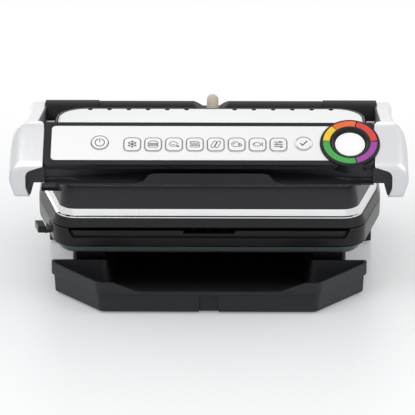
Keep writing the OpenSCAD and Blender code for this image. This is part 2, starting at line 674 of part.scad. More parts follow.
// The cheek that a knuckle puts along the arm's inner side, from the console to the hinge
cheek_t = 1.6;
cheek_drop = 1.2;       // distance of the cheek's upper edge below the arm's
function cheek_section(s) = [[s[1] - cheek_t, s[0], s[3]], [s[1], s[0], s[3]],
    [s[1], s[0], s[4] - cheek_drop], [s[1] - cheek_t, s[0], s[4] - cheek_drop]];
cheek = [for (s = stations) if (s[0] > shaft[0][0] - 1 && s[0] < hinge_y - 10) s];
module arm() difference() {
    skin([for (i = [len(stations) - 1:-1:0]) arm_section(stations[i])]);
    // the console's black lining fills the inside of the arm end, and inwards of it the arm is open below
    prism_y(-cap_front - 5, -lining_rear + 0.2, lining_profile(0.2));
    prism_y(-cap_front - 5, -panel_y + 12, [[console_half - 3, cap_z - 5], [lining_out - 3.3, cap_z - 5],
        [lining_out - 3.3, cap_z + 0.4], [console_half + 9, lining_z], [console_half - 3, lining_z]]);
    rod_x(0, arm_in + spigot_l + 0.2, hinge_y, hinge_z, spigot_r + 0.1);
    rod_x(0, pivot_out + 0.4, pivot_y, pivot_z, pivot_r + turn_fit);
}
module arm_right() color(silver) difference() {
    arm();
    on_ring(-boss_depth - 0.3) cylinder(h = 40, r = ring_r + 0.3);
}
module arm_left() color(silver) mirror([1, 0, 0]) arm();

// ---------- console ----------

lining_rear = panel_y + 16;
lining_top = panel_z - 32.4;
lining_out = arm_outer - 15.1;
lining_z = console_z + 2.6;
// Outline of the lining inside an arm end, seen from the front, which ends in a thin wall
lining_corners = [[console_half - 1, lining_z], [console_half + 9, lining_z], [lining_out - 4.1, cap_z + 0.4],
    [lining_out - 2.9, cap_z + 0.4], [lining_out, console_z - 1.2], [lining_out, lining_top - 4.4],
    [console_half + 2.4, lining_top], [console_half - 1, lining_top]];
function lining_profile(c) = rounded(inset(lining_corners, -c), [0.2, 0.8, 0.4, 0.4, 6, 6.5, 4, 0.2], 4);
// Its profile seen from the side
lining_side = [[-cap_front + 2, lining_top], [-cap_front + 3, console_z + 13],
    [-cap_front + 6, console_z + 2], [-cap_front + 8, cap_z], [-lining_rear, cap_z],
    [-lining_rear, lining_top]];
pocket_floor = console_z + 6;
lip_front = panel_y + 32;
wall_front = panel_y + 26;
pocket_top = 129.8;     // height of the pocket's ceiling at its front
boss_depth = 10;        // depth of the indicator's boss below the panel
board_depth = 8.4;      // depth of the control board's face below the panel
frame_low = panel_point(-panel_len, -frame_t);
frame_high = panel_point(0, -frame_t);
// Side profile with a finger pocket of the depth d, at the distance x from the middle
rear_wall = [[-panel_y + 9, 135], frame_high, frame_low];
function pocket(d) = [[-wall_front - 7, pocket_top], [-wall_front + d - 2, pocket_top - 2.4],
    [-wall_front + d, pocket_floor + 1], [-wall_front + d - 1, pocket_floor],
    [-lip_front + 2.4, pocket_floor - 3], [-lip_front, pocket_floor - 4.4]];
function console_ring(x, d) = [for (p = concat(rear_wall, pocket(d),
    [[-lip_front, console_z], [-panel_y + 8, console_z]])) [x, p[0], p[1]]];
pocket_end = -4;        // depth at the ends, where the wall stands in front
pocket_fade = 74;       // length over which the pocket grows shallow
// Places along half of the console and the pocket's depth there
pocket_steps = concat([[console_half, pocket_end]], [for (k = [0:6])
    [pocket_half - pocket_fade * k / 6, pocket_end + (pocket_d - pocket_end) * (1 - cos(k * 30)) / 2]]);
pocket_rings = concat([for (p = pocket_steps) console_ring(-p[0], p[1])],
    [for (i = [len(pocket_steps) - 1:-1:0]) console_ring(pocket_steps[i][0], pocket_steps[i][1])]);
module console_housing() color(black) difference() {
    union() {
        skin(pocket_rings);
        both_sides() intersection() {
            prism_y(-cap_front, -lining_rear, lining_profile(0));
            prism_x(console_half - 1, lining_out + 1, lining_side);
        }
    }
    on_panel() {
        // room for the board, under the fascia
        block([-fascia_half + 4, -panel_len + 7, -board_depth - 4], [ring_x - ring_r - 5, -6, 0]);
        translate([ring_x, -panel_len / 2, -boss_depth]) cylinder(h = 40, r = ring_r + 0.1);
    }
}

// Raised middle of the lip, with sloping shoulders
hump_half = 51;
hump_side = [[16, pocket_floor - 4.4], [9, pocket_floor - 2.4], [4.5, lip_top - 1.4], [0, lip_top]];
hump = concat([for (p = hump_side) [hump_half + p[0], p[1]]],
    [for (i = [len(hump_side) - 1:-1:0]) [-hump_half - hump_side[i][0], hump_side[i][1]]]);
module console_lip() color(grey) prism_y(-lip_front - 2, -lip_front, concat(
    [[-pocket_half, console_z], [pocket_half, console_z], [pocket_half, pocket_floor - 4.4]],
    hump, [[-pocket_half, pocket_floor - 4.4]]));

module on_ring(z) on_panel() translate([ring_x, -panel_len / 2, z]) children();

fascia_low_y = -panel_len + fascia_low;
module fascia_plan(c) difference() {
    polygon(rounded([[-fascia_half - c, fascia_low_y - c], [ring_x, fascia_low_y - c],
        [ring_x, -fascia_top + c], [-fascia_half - c, -fascia_top + c]], [3.8, 1, 1, 3.8]));
    translate([ring_x, -panel_len / 2]) circle(r = ring_r + 0.5 - c);
}
module panel_frame() color(black) difference() {
    on_panel() translate([0, 0, -frame_t]) linear_extrude(frame_t)
        polygon(rounded([[-console_half, -panel_len], [console_half, -panel_len], [console_half, 0],
            [-console_half, 0]], [3, 3, 3, 3]));
    on_panel() translate([0, 0, -fascia_t]) linear_extrude(9) fascia_plan(0.15);
    on_ring(-9) cylinder(h = 20, r = ring_r + 0.1);
    key_cuts(key_fit);
}
module fascia() color(steel) difference() {
    on_panel() translate([0, 0, -fascia_t]) linear_extrude(fascia_t) fascia_plan(0);
    key_cuts(key_fit);
}

// ---------- keys ----------

key_fit = 0.25;
key_rise = 0.5;         // how far the keys stand out of the fascia
key_flange = 1.2;
key_depth = 5.4;
key_y = -panel_len / 2 - 1.6;
power_x = -100.4;
confirm_x = 87;
round_r = key_w / 2;
module squircle(w) polygon(rounded([[-w / 2, -w / 2], [w / 2, -w / 2], [w / 2, w / 2], [-w / 2, w / 2]],
    [w * 0.3, w * 0.3, w * 0.3, w * 0.3]));
module key_cuts(c) on_panel() {
    for (k = [0:7])
        translate([-key_start + k * key_pitch, key_y, -9]) linear_extrude(20) squircle(key_w + 2 * c);
    for (x = [power_x, confirm_x])
        translate([x, key_y + (x == power_x ? 2 : 1.4), -9]) cylinder(h = 20, r = round_r + c);
}
module square_key(k) color(silver) on_panel() translate([-key_start + k * key_pitch, key_y, 0]) {
    translate([0, 0, -key_depth]) linear_extrude(key_depth + key_rise) squircle(key_w);
    translate([0, 0, -key_depth]) linear_extrude(key_depth - frame_t - 0.2) squircle(key_w + 2 * key_flange);
}
module round_key(x, dy) color(silver) on_panel() translate([x, key_y + dy, -key_depth]) {
    cylinder(h = key_depth + key_rise, r = round_r);
    cylinder(h = key_depth - frame_t - 0.2, r = round_r + key_flange);
}
module key_power() round_key(power_x, 2);
module key_frozen() square_key(0);
module key_burger() square_key(1);
module key_poultry() square_key(2);
module key_sandwich() square_key(3);
module key_sausage() square_key(4);
module key_meat() square_key(5);
module key_fish() square_key(6);
module key_manual() square_key(7);
module key_confirm() round_key(confirm_x, 1.4);

// Rubber mat with a dome under each key, and the board below it
mat_top = key_depth + key_travel + 0.2;
module key_mat() color(grey) on_panel() {
    translate([-fascia_half + 8, key_y - 12, -board_depth]) cube([fascia_half + ring_x - ring_r - 16, 24, 1]);
    for (x = concat([power_x, confirm_x], [for (k = [0:7]) -key_start + k * key_pitch]))
        translate([x, key_y + 1, -board_depth + 0.5]) cylinder(h = board_depth - mat_top - 0.5, r = 4);
}
module control_board() color(board_green) on_panel()
    translate([-fascia_half + 5, -panel_len + 8, -board_depth - 1.6])
        cube([fascia_half + ring_x - ring_r - 11, panel_len - 15, 1.6]);

// ---------- indicator ----------

window_depth = 1.6;
lens_depth = 4.2;       // depth of the recess round the lens, which ends in a cone
module indicator_bezel() color(black) on_ring(-boss_depth) difference() {
    union() {
        cylinder(h = boss_depth + ring_rise - 0.8, r = ring_r);
        cylinder(h = boss_depth + ring_rise, r = ring_r - 0.8);
    }
    translate([0, 0, boss_depth + ring_rise - window_depth]) difference() {
        cylinder(h = 9, r = window_r);
        translate([0, 0, -1]) cylinder(h = 19, r = window_r - window_w);
    }
    translate([0, 0, boss_depth + ring_rise - lens_depth])
        cylinder(h = lens_depth, r1 = lens_r + 0.3, r2 = lens_r + 3);
    translate([0, 0, boss_depth - 6]) cylinder(h = 20, r = lens_r - 3);
}
// Windows between two directions, counted anticlockwise from the right
window_gap = 1.2;
module window(a0, a1) on_ring(ring_rise - window_depth) difference() {
    rotate([0, 0, a0 + window_gap]) rotate_extrude(angle = a1 - a0 - 2 * window_gap)
        translate([window_r - window_w, 0]) square([window_w, window_depth + 0.1]);
}
module window_orange() color([0.93, 0.45, 0.14]) window(75, 130);
module window_yellow() color([0.96, 0.82, 0.16]) window(130, 177);
module window_green() color([0.26, 0.62, 0.28]) window(177, 283);
module window_purple() color([0.62, 0.22, 0.60]) window(283, 363);
module window_red() color([0.87, 0.25, 0.22]) window(3, 75);
module indicator_lens() color("white") on_ring(ring_rise - lens_depth) {
    cylinder(h = 1.2, r = lens_r);
    translate([0, 0, -3.6]) cylinder(h = 4, r = lens_r - 3.2);
}

// ---------- drip tray ----------

tray_z = 1;
tray_inner_half = tunnel_half - slide_gap;
tray_corners = [[-tray_front_half, -tray_front], [tray_front_half, -tray_front], [tray_half, -wing_rear - 10],
    [tray_half, -wing_rear], [tray_inner_half, -wing_rear], [tray_inner_half, tray_rear],
    [-tray_inner_half, tray_rear], [-tray_inner_half, -wing_rear], [-tray_half, -wing_rear],
    [-tray_half, -wing_rear - 10]];
tray_radii = [12, 12, 6, 3, 3, 8, 8, 3, 3, 6];
// Radii of the tray's corners, moved inwards by d; the two inner corners grow
function tray_radius(i, d) = i == 4 || i == 7 ? tray_radii[i] + d : max(tray_radii[i] - d, 0.5);
function tray_ring(d, z) = [for (p = rounded(inset(tray_corners, d),
    [for (i = [0:len(tray_radii) - 1]) tray_radius(i, d)], 4)) [p[0], p[1], z]];
pull_d = 3;             // depth of the finger pull
// Profile of the front face, moved inwards by d, from under the tray to the height z
function front_face(d, z) = [[-tray_front + 5 + d, tray_z - 0.01], [-tray_front + 3.4 + d, tray_z + 1.4],
    [-tray_front + 2.4 + d, z]];
module drip_tray() color(black) difference() {
    union() {
        skin([tray_ring(5, tray_z), tray_ring(3.4, tray_z + 1.4), tray_ring(2.4, lip_h - 3.2),
            tray_ring(0.4, lip_h - 2.6), tray_ring(0, lip_h - 1), tray_ring(0, tray_h),
            tray_ring(tray_wall, tray_h), tray_ring(tray_wall + 1.6, lip_h - 4),
            tray_ring(tray_wall + 3.4, tray_z + 4), tray_ring(tray_wall + 5, tray_z + tray_wall)]);
        // wall behind the finger pull
        prism_x(-pull_half - tray_wall, pull_half + tray_wall, concat(front_face(0.4, lip_h - 3.4),
            [[-tray_front + 3 + pull_d + tray_wall, lip_h - 3.4],
                [-tray_front + 5 + pull_d + tray_wall, tray_z]]));
    }
    // dip in the middle of the front
    prism_y(-tray_front - 5, -tray_front + 14, [[-dip_half, lip_h], [dip_half, lip_h],
        [dip_half + 23, tray_h + 0.01], [dip_half + 23, big], [-dip_half - 23, big],
        [-dip_half - 23, tray_h + 0.01]]);
    // finger pull
    prism_x(-pull_half, pull_half, concat(front_face(pull_d, lip_h - 4),
        [[-tray_front - 5, lip_h - 4], [-tray_front - 5, tray_z - 0.01]]));
}

base_shell();
belly_pan();
lower_housing();
bottom_cover();
rubber_feet();
rear_housing();
hinge_pins();
hinge_bushes();
lower_plate();
lower_heater();
lower_reflector();
lower_sensor();
power_board();
cord_grommet();
base_screws();
sleeve_gland_base();
wiring_sleeve();
lower_release();
lid_cover();
lid_shell();
lid_skirt();
lid_frame();
upper_plate();
upper_heater();
upper_reflector();
upper_sensor();
lid_pivot_pins();
sleeve_gland_lid();
upper_release();
arm_left();
arm_right();
knuckle_left();
knuckle_right();
console_housing();
console_lip();
panel_frame();
fascia();
indicator_bezel();
window_yellow();
window_orange();
window_red();
window_purple();
window_green();
indicator_lens();
control_board();
key_mat();
key_power();
key_frozen();
key_burger();
key_poultry();
key_sandwich();
key_sausage();
key_meat();
key_fish();
key_manual();
key_confirm();
drip_tray();
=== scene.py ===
"""The finish of a contact grill: moulded plastic, brushed and polished steel, printed keys, a braided sleeve."""
import json
import math

import bmesh
import bpy
from bpy.props import FloatProperty, FloatVectorProperty, PointerProperty
from mathutils import Matrix, Vector


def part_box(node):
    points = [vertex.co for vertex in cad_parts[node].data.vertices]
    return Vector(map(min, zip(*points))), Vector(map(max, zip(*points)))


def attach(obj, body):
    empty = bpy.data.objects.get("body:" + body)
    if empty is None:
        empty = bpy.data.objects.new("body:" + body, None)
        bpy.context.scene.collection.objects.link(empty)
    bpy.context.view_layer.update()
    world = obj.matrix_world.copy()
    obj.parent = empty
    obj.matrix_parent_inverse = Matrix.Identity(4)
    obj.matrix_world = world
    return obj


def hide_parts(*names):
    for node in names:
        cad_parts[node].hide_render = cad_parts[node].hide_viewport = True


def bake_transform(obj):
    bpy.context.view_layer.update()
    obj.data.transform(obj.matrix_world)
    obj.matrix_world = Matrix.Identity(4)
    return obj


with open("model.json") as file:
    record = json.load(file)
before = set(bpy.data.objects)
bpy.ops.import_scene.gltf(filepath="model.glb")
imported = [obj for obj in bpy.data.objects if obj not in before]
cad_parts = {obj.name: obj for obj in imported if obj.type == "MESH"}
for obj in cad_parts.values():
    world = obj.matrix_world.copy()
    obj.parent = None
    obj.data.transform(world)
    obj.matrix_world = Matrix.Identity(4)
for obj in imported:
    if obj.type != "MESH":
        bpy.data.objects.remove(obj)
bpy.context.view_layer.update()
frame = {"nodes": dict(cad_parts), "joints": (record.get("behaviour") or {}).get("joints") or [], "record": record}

bl_info = {
    "name": "Contact grill",
    "version": (1, 0, 0),
    "blender": (4, 5, 0),
    "location": "3D View > Sidebar > Grill",
    "description": "Dresses the pieces of an electric contact grill",
    "category": "Object",
}

MM = 0.001
BODY_OF = {node: body for body, nodes in frame["record"]["behaviour"]["bodies"].items() for node in nodes}
JOINTS = {joint["name"]: joint for joint in frame["joints"]}
MIX_SHARE, MIX_A, MIX_B, MIX_RESULT = 0, 6, 7, 2           # sockets of a Mix node that mixes colours
MERGE_DISTANCE = 0.004 * MM                                # points of a CAD mesh closer than this are one
FLAT_ANGLE = math.radians(0.5)                             # faces of a CAD mesh flatter than this are one
INK_FOOT = 0.04                                            # how far printing reaches into its ground, mm
INK_FILM = 0.05                                            # how far it stands out of a key, mm


# ---------- colours, nodes and materials ----------

def linear(hex_colour):
    """An sRGB hex colour as linear RGBA."""
    values = [int(hex_colour[i:i + 2], 16) / 255 for i in (1, 3, 5)]
    return [v / 12.92 if v <= 0.04045 else ((v + 0.055) / 1.055) ** 2.4 for v in values] + [1.0]


def rgba(colour):
    """A hex colour, or a colour that is linear already, as linear RGBA."""
    return linear(colour) if isinstance(colour, str) else (*colour, 1.0)


def add(tree, kind, inputs=None, onward=None, **settings):
    """Adds a node. An input given as a socket is linked to it, and any other value is set.

    onward names the outputs that are linked on, each with the socket it goes to.
    """
    node = tree.nodes.new(kind)
    for name, value in settings.items():
        setattr(node, name, value)
    for key, value in (inputs or {}).items():
        if isinstance(value, bpy.types.NodeSocket):
            tree.links.new(value, node.inputs[key])
        else:
            node.inputs[key].default_value = value
    for key, target in (onward or {}).items():
        tree.links.new(node.outputs[key], target)
    return node


def blank_material(name, colour, roughness, metallic=0.0, **sockets):
    """A material with a Principled shader, its tree and that shader."""
    material = bpy.data.materials.new(name)
    material.use_nodes = True
    tree = material.node_tree
    tree.nodes.clear()
    shader = add(tree, "ShaderNodeBsdfPrincipled", {
        "Base Color": rgba(colour), "Roughness": roughness, "Metallic": metallic, **sockets})
    add(tree, "ShaderNodeOutputMaterial", {"Surface": shader.outputs["BSDF"]})
    return material, tree, shader


def background_rays(tree):
    """1 for the camera and for what metal and glass show, 0 for the light that falls on the grill."""
    path = add(tree, "ShaderNodeLightPath").outputs
    shown = add(tree, "ShaderNodeMath", {0: path["Is Camera Ray"], 1: path["Is Glossy Ray"]},
                operation="MAXIMUM")
    return add(tree, "ShaderNodeMath", {0: shown.outputs[0], 1: path["Is Transmission Ray"]},
               operation="MAXIMUM").outputs[0]


def moulded_abs(name, colour, worn, roughness, depth_mm=0.04, shine=0.32):
    """Injection-moulded ABS: an even spark-eroded grain and a faint, broad change of gloss.

    The real grain is about 0.2 mm; it is drawn at 0.9 mm so that it shows at this picture size.
    """
    material, tree, shader = blank_material(name, colour, roughness, **{
        "IOR": 1.45, "Specular IOR Level": shine})
    at = add(tree, "ShaderNodeTexCoord").outputs["Object"]
    grain = add(tree, "ShaderNodeTexNoise", {"Vector": at, "Scale": 1 / (0.9 * MM),
                                             "Detail": 3.0}).outputs["Fac"]
    broad = add(tree, "ShaderNodeTexNoise", {"Vector": at, "Scale": 1 / (60 * MM),
                                             "Detail": 2.0}).outputs["Fac"]
    add(tree, "ShaderNodeMix", {MIX_SHARE: broad, MIX_A: rgba(colour), MIX_B: rgba(worn)},
        {MIX_RESULT: shader.inputs["Base Color"]}, data_type="RGBA")
    add(tree, "ShaderNodeMapRange", {"Value": broad, "To Min": roughness - 0.06, "To Max": roughness + 0.06},
        {"Result": shader.inputs["Roughness"]})
    add(tree, "ShaderNodeBump", {"Height": grain, "Distance": depth_mm * MM, "Strength": 1.0},
        {"Normal": shader.inputs["Normal"]})
    return material


def metallic_paint(name, colour, shade, roughness, metallic=0.35):
    """Silver two-coat paint on ABS: fine flakes under a satin clear coat."""
    material, tree, shader = blank_material(name, colour, roughness, metallic, **{
        "Coat Weight": 0.25, "Coat Roughness": 0.25, "IOR": 1.5})
    at = add(tree, "ShaderNodeTexCoord").outputs["Object"]
    flakes = add(tree, "ShaderNodeTexVoronoi", {"Vector": at, "Scale": 1 / (0.5 * MM)}).outputs["Distance"]
    broad = add(tree, "ShaderNodeTexNoise", {"Vector": at, "Scale": 1 / (80 * MM),
                                             "Detail": 2.0}).outputs["Fac"]
    add(tree, "ShaderNodeMix", {MIX_SHARE: flakes, MIX_A: rgba(shade), MIX_B: rgba(colour)},
        {MIX_RESULT: shader.inputs["Base Color"]}, data_type="RGBA")
    add(tree, "ShaderNodeMapRange", {"Value": broad, "To Min": roughness - 0.04, "To Max": roughness + 0.05},
        {"Result": shader.inputs["Roughness"]})
    add(tree, "ShaderNodeBump", {"Height": flakes, "Distance": 0.01 * MM, "Strength": 0.4},
        {"Normal": shader.inputs["Normal"]})
    return material


def brushed_steel(name, colour, shade, roughness):
    """Metal sheet, belt-brushed from side to side: long fine lines that spread the highlight."""
    material, tree, shader = blank_material(name, colour, roughness, 1.0)
    stroke, line = 1 / (45 * MM), 1 / (0.35 * MM)
    at = add(tree, "ShaderNodeMapping", {"Vector": add(tree, "ShaderNodeTexCoord").outputs["Object"],
                                         "Scale": (stroke, line, line)}).outputs["Vector"]
    lines = add(tree, "ShaderNodeTexNoise", {"Vector": at, "Scale": 1.0, "Detail": 4.0,
                                             "Roughness": 0.7}).outputs["Fac"]
    add(tree, "ShaderNodeMix", {MIX_SHARE: lines, MIX_A: rgba(shade), MIX_B: rgba(colour)},
        {MIX_RESULT: shader.inputs["Base Color"]}, data_type="RGBA")
    add(tree, "ShaderNodeMapRange", {"Value": lines, "To Min": roughness - 0.08, "To Max": roughness + 0.08},
        {"Result": shader.inputs["Roughness"]})
    add(tree, "ShaderNodeBump", {"Height": lines, "Distance": 0.02 * MM, "Strength": 0.5},
        {"Normal": shader.inputs["Normal"]})
    return material


def polished_steel(name, colour, roughness):
    """Mirror-polished stainless: almost clean reflections with faint polishing haze."""
    material, tree, shader = blank_material(name, colour, roughness, 1.0)
    at = add(tree, "ShaderNodeTexCoord").outputs["Object"]
    haze = add(tree, "ShaderNodeTexNoise", {"Vector": at, "Scale": 1 / (25 * MM), "Detail": 5.0}).outputs["Fac"]
    add(tree, "ShaderNodeMapRange", {"Value": haze, "To Min": roughness * 0.6, "To Max": roughness * 1.7},
        {"Result": shader.inputs["Roughness"]})
    return material


def non_stick(name, colour, speck, roughness):
    """Sprayed non-stick coating on cast aluminium: dark, with fine lighter specks and an orange-peel skin."""
    material, tree, shader = blank_material(name, colour, roughness, IOR=1.38)
    at = add(tree, "ShaderNodeTexCoord").outputs["Object"]
    specks = add(tree, "ShaderNodeTexVoronoi", {"Vector": at, "Scale": 1 / (1.6 * MM)}).outputs["Distance"]
    dots = add(tree, "ShaderNodeMath", {0: specks, 1: 0.13}, operation="LESS_THAN").outputs[0]
    peel = add(tree, "ShaderNodeTexNoise", {"Vector": at, "Scale": 1 / (1.2 * MM),
                                            "Detail": 2.0}).outputs["Fac"]
    add(tree, "ShaderNodeMix", {MIX_SHARE: dots, MIX_A: rgba(colour), MIX_B: rgba(speck)},
        {MIX_RESULT: shader.inputs["Base Color"]}, data_type="RGBA")
    add(tree, "ShaderNodeBump", {"Height": peel, "Distance": 0.06 * MM, "Strength": 1.0},
        {"Normal": shader.inputs["Normal"]})
    return material


def soft_rubber(name, colour, roughness):
    """Moulded rubber: matt, with a dusty uneven surface."""
    material, tree, shader = blank_material(name, colour, roughness, IOR=1.5)
    at = add(tree, "ShaderNodeTexCoord").outputs["Object"]
    dust = add(tree, "ShaderNodeTexNoise", {"Vector": at, "Scale": 1 / (3 * MM), "Detail": 6.0}).outputs["Fac"]
    add(tree, "ShaderNodeMapRange", {"Value": dust, "To Min": roughness - 0.1, "To Max": roughness + 0.1},
        {"Result": shader.inputs["Roughness"]})
    add(tree, "ShaderNodeBump", {"Height": dust, "Distance": 0.05 * MM, "Strength": 1.0},
        {"Normal": shader.inputs["Normal"]})
    return material


def dyed_acrylic(name, colour, deep, roughness=0.22):
    """Tinted acrylic window over a diffuser: glossy, and slightly deeper where the diffuser is dark."""
    material, tree, shader = blank_material(name, colour, roughness, **{
        "IOR": 1.49, "Coat Weight": 0.2, "Coat Roughness": 0.08})
    at = add(tree, "ShaderNodeTexCoord").outputs["Object"]
    cloud = add(tree, "ShaderNodeTexNoise", {"Vector": at, "Scale": 1 / (6 * MM), "Detail": 1.0}).outputs["Fac"]
    add(tree, "ShaderNodeMix", {MIX_SHARE: cloud, MIX_A: rgba(deep), MIX_B: rgba(colour)},
        {MIX_RESULT: shader.inputs["Base Color"]}, data_type="RGBA")
    return material


def screen_ink(name, colour):
    """Screen-printed ink: matt, with a thin uneven film."""
    material, tree, shader = blank_material(name, colour, 0.55)
    at = add(tree, "ShaderNodeTexCoord").outputs["Object"]
    film = add(tree, "ShaderNodeTexNoise", {"Vector": at, "Scale": 1 / (0.8 * MM),
                                            "Detail": 2.0}).outputs["Fac"]
    add(tree, "ShaderNodeMapRange", {"Value": film, "To Min": 0.45, "To Max": 0.65},
        {"Result": shader.inputs["Roughness"]})
    return material


def glass_fibre_braid(name, colour, shade, strand_mm):
    """Braided glass-fibre sleeve: strands cross both ways round the tube, and the gaps between them are painted
    darker, which is painted shade.
    """
    material, tree, shader = blank_material(name, colour, 0.62, **{"Sheen Weight": 0.2})
    uv = add(tree, "ShaderNodeUVMap", uv_map="braid").outputs["UV"]
    waves = []
    for turn in (math.radians(45), math.radians(-45)):
        at = add(tree, "ShaderNodeMapping", {"Vector": uv, "Rotation": (0, 0, turn)}).outputs["Vector"]
        # at scale 1 a wave texture repeats every 0.314 units, and this map is in mm
        waves.append(add(tree, "ShaderNodeTexWave", {"Vector": at, "Scale": 0.314 / strand_mm}).outputs["Fac"])
    cross = add(tree, "ShaderNodeMath", {0: waves[0], 1: waves[1]}, operation="MAXIMUM").outputs[0]
    # painted shade: the gaps between the strands, where the bump dips, take the darker shade colour
    add(tree, "ShaderNodeMix", {MIX_SHARE: cross, MIX_A: rgba(shade), MIX_B: rgba(colour)},
        {MIX_RESULT: shader.inputs["Base Color"]}, data_type="RGBA")
    add(tree, "ShaderNodeBump", {"Height": cross, "Distance": 0.4 * MM, "Strength": 1.0},
        {"Normal": shader.inputs["Normal"]})
    return material


def glass_epoxy(name, colour, trace):
    """Circuit board: green solder mask with slightly paler copper tracks under it."""
    material, tree, shader = blank_material(name, colour, 0.35, IOR=1.55)
    at = add(tree, "ShaderNodeMapping", {"Vector": add(tree, "ShaderNodeTexCoord").outputs["Object"],
                                         "Scale": (1 / (9 * MM), 1 / (3 * MM), 1 / (3 * MM))}).outputs["Vector"]
    tracks = add(tree, "ShaderNodeTexVoronoi", {"Vector": at, "Scale": 1.0},
                 distance="CHEBYCHEV").outputs["Distance"]
    edges = add(tree, "ShaderNodeMath", {0: tracks, 1: 0.42}, operation="GREATER_THAN").outputs[0]
    add(tree, "ShaderNodeMix", {MIX_SHARE: edges, MIX_A: rgba(colour), MIX_B: rgba(trace)},
        {MIX_RESULT: shader.inputs["Base Color"]}, data_type="RGBA")
    return material


# ---------- meshes ----------

def finish_piece(obj, material, body, replaces=()):
    """Gives a piece its material and body, and hides the CAD nodes that it stands for."""
    if material is not None:
        obj.data.materials.clear()
        obj.data.materials.append(material)
    if replaces:
        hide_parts(*replaces)
    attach(obj, body)


def new_object(name, mesh):
    obj = bpy.data.objects.new(name, mesh)
    bpy.context.scene.collection.objects.link(obj)
    return obj


def mesh_from(name, build):
    """A new object whose mesh is filled by build(bm)."""
    bm = bmesh.new()
    build(bm)
    mesh = bpy.data.meshes.new(name)
    bm.to_mesh(mesh)
    bm.free()
    return new_object(name, mesh)


def soften(obj, width_mm, angle):
    """Rounds the edges of a piece and shades it smoothly."""
    obj.data.shade_smooth()
    bevel = obj.modifiers.new("Rounded edges", "BEVEL")
    bevel.width = width_mm * MM
    bevel.segments = 3
    bevel.limit_method = "ANGLE"
    bevel.angle_limit = math.radians(angle)
    even = obj.modifiers.new("Even shading", "WEIGHTED_NORMAL")
    even.weight = 100
    even.keep_sharp = True


def refined(node, material, width_mm, angle=32):
    """A merged and softened copy of a CAD node that stands in its place."""
    mesh = frame["nodes"][node].data.copy()
    bm = bmesh.new()
    bm.from_mesh(mesh)
    bmesh.ops.remove_doubles(bm, verts=bm.verts, dist=MERGE_DISTANCE)
    bmesh.ops.dissolve_limit(bm, angle_limit=FLAT_ANGLE, verts=bm.verts, edges=bm.edges)
    bm.to_mesh(mesh)
    bm.free()
    obj = new_object(node + "_finished", mesh)
    soften(obj, width_mm, angle)
    finish_piece(obj, material, BODY_OF[node], [node])


def coat(node, material):
    """Gives a CAD node that keeps its own mesh a better material."""
    data = frame["nodes"][node].data
    data.materials.clear()
    data.materials.append(material)


def smooth_path(points, steps):
    """A Catmull-Rom curve through the points."""
    ends = [points[0] * 2 - points[1]] + list(points) + [points[-1] * 2 - points[-2]]
    path = []
    for i in range(1, len(ends) - 2):
        p0, p1, p2, p3 = ends[i - 1:i + 3]
        for k in range(steps):
            t = k / steps
            path.append(0.5 * (2 * p1 + (p2 - p0) * t + (2 * p0 - 5 * p1 + 4 * p2 - p3) * t ** 2
                               + (3 * p1 - p0 - 3 * p2 + p3) * t ** 3))
    path.append(Vector(ends[-2]))
    return path


# ---------- the panel's own frame ----------

SLOPE = math.atan2(JOINTS["press_power"]["axis"][1], -JOINTS["press_power"]["axis"][2])
FRAME_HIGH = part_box("panel_frame")[1]
SHEET = 3.0                                                # thickness of the panel frame, mm
TOP_Z = FRAME_HIGH.z / MM                                  # upper edge of the panel
TOP_Y = FRAME_HIGH.y / MM - SHEET * math.sin(SLOPE)


def on_panel(x, y, height=0.0):
    """A point on the panel in metres, from mm: x across, y up the slope from its top, height out of it."""
    return Vector((x, TOP_Y + y * math.cos(SLOPE) - height * math.sin(SLOPE),
                   TOP_Z + y * math.sin(SLOPE) + height * math.cos(SLOPE))) * MM


def ribbon(bm, points, width, low, high, place, closed=False):
    """A flat printed line of one width along a path of (x, y) points."""
    count = len(points)
    rings = []
    for i, (x, y) in enumerate(points):
        before = points[i - 1] if closed or i else points[i]
        after = points[(i + 1) % count] if closed or i < count - 1 else points[i]
        d1 = Vector((x - before[0], y - before[1]))
        d2 = Vector((after[0] - x, after[1] - y))
        d1 = d1.normalized() if d1.length else d2.normalized()
        d2 = d2.normalized() if d2.length else d1
        mid = (d1 + d2).normalized() if (d1 + d2).length > 1e-6 else d1
        side = Vector((-mid.y, mid.x))
        stretch = min(2.0, 1 / max(0.2, side.dot(Vector((-d1.y, d1.x)))))
        offset = side * width / 2 * stretch
        corners = [(x + offset.x, y + offset.y, low), (x - offset.x, y - offset.y, low),
                   (x - offset.x, y - offset.y, high), (x + offset.x, y + offset.y, high)]
        rings.append([bm.verts.new(place(*corner)) for corner in corners])
    for i in range(count if closed else count - 1):
        a, b = rings[i], rings[(i + 1) % count]
        for k in range(4):
            bm.faces.new((a[k], a[(k + 1) % 4], b[(k + 1) % 4], b[k]))
    if not closed:
        bm.faces.new(rings[0][::-1])
        bm.faces.new(rings[-1])


def arc(cx, cy, rx, ry, start, end, steps=20):
    return [(cx + rx * math.cos(math.radians(start + (end - start) * k / steps)),
             cy + ry * math.sin(math.radians(start + (end - start) * k / steps))) for k in range(steps + 1)]


def loop(cx, cy, rx, ry, steps=28):
    return arc(cx, cy, rx, ry, 0, 360 - 360 / steps, steps - 1)


def squircle(half, radius):
    """A square outline with round corners."""
    flat = half - radius
    points = []
    for k, (sx, sy) in enumerate(((1, 1), (-1, 1), (-1, -1), (1, -1))):
        points += arc(sx * flat, sy * flat, radius, radius, 90 * k, 90 * k + 90, 6)
    return points


# Each mark is a list of strokes: (points, closed), in mm about the key's centre
def snowflake():
    strokes = []
    for k in range(6):
        a = math.radians(60 * k + 30)
        strokes.append(([(0, 0), (4.4 * math.cos(a), 4.4 * math.sin(a))], False))
        for turn in (-55, 55):
            b = a + math.radians(turn)
            root = (2.6 * math.cos(a), 2.6 * math.sin(a))
            strokes.append(([root, (root[0] + 1.5 * math.cos(b), root[1] + 1.5 * math.sin(b))], False))
    return strokes


